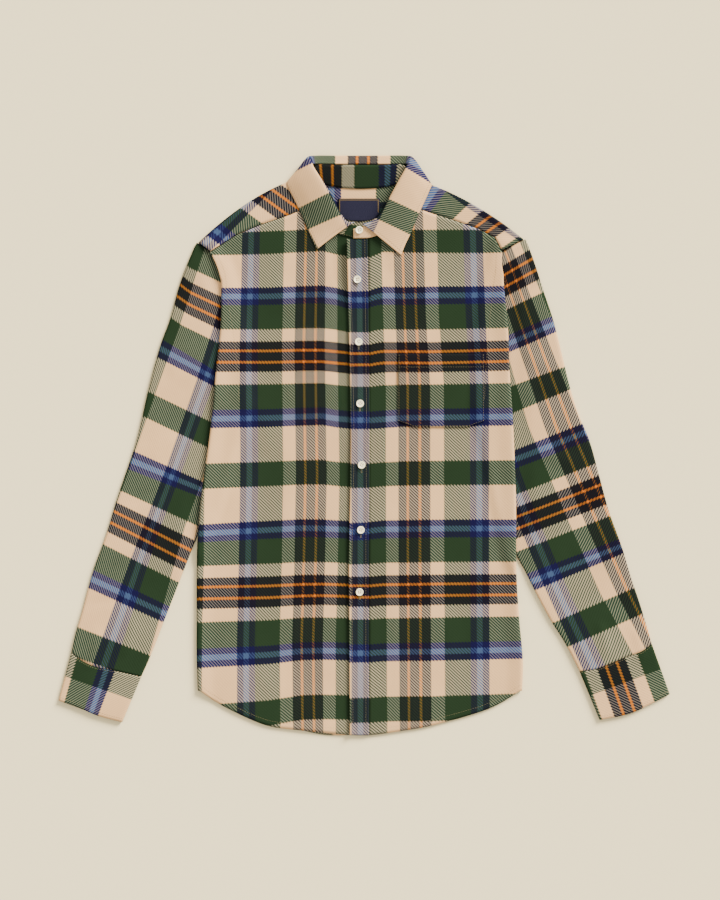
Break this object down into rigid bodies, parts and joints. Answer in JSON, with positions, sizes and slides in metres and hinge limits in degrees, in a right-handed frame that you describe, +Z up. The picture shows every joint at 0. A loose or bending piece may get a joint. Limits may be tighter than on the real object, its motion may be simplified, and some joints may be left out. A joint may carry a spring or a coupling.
{
  "type": "flannel shirt laid flat",
  "caption": "Long-sleeved button-up shirt in checked flannel, laid flat on its back with the sleeves at its sides.",
  "frame": {"origin": "on the centre line of the shirt, on the underside of the back panel, 405 mm above the bottom of the hem and 407 mm below the fold of the collar", "axes": "+Z up out of the surface that the shirt lies on, +Y towards the collar, +X towards the wearer's left"},
  "size_m": [0.8567, 0.8119, 0.0185],
  "materials": {
    "flannel": "brushed cotton twill in a green, cream, navy, black and orange check",
    "label": "woven navy tape with a thin gold line, no lettering",
    "button": "off-white moulded, softly polished, four holes"
  },
  "bodies": {
    "root": {"back": "flannel", "yoke": "flannel", "front_right": "flannel", "front_left": "flannel", "placket": "flannel", "pocket": "flannel", "sleeve_right": "flannel", "sleeve_left": "flannel", "cuff_right": "flannel", "cuff_left": "flannel", "collar_stand": "flannel", "collar_leaf": "flannel", "label": "label", "button_1": "button", "button_2": "button", "button_3": "button", "button_4": "button", "button_5": "button", "button_6": "button", "button_collar": "button"}
  },
  "joints": []
}
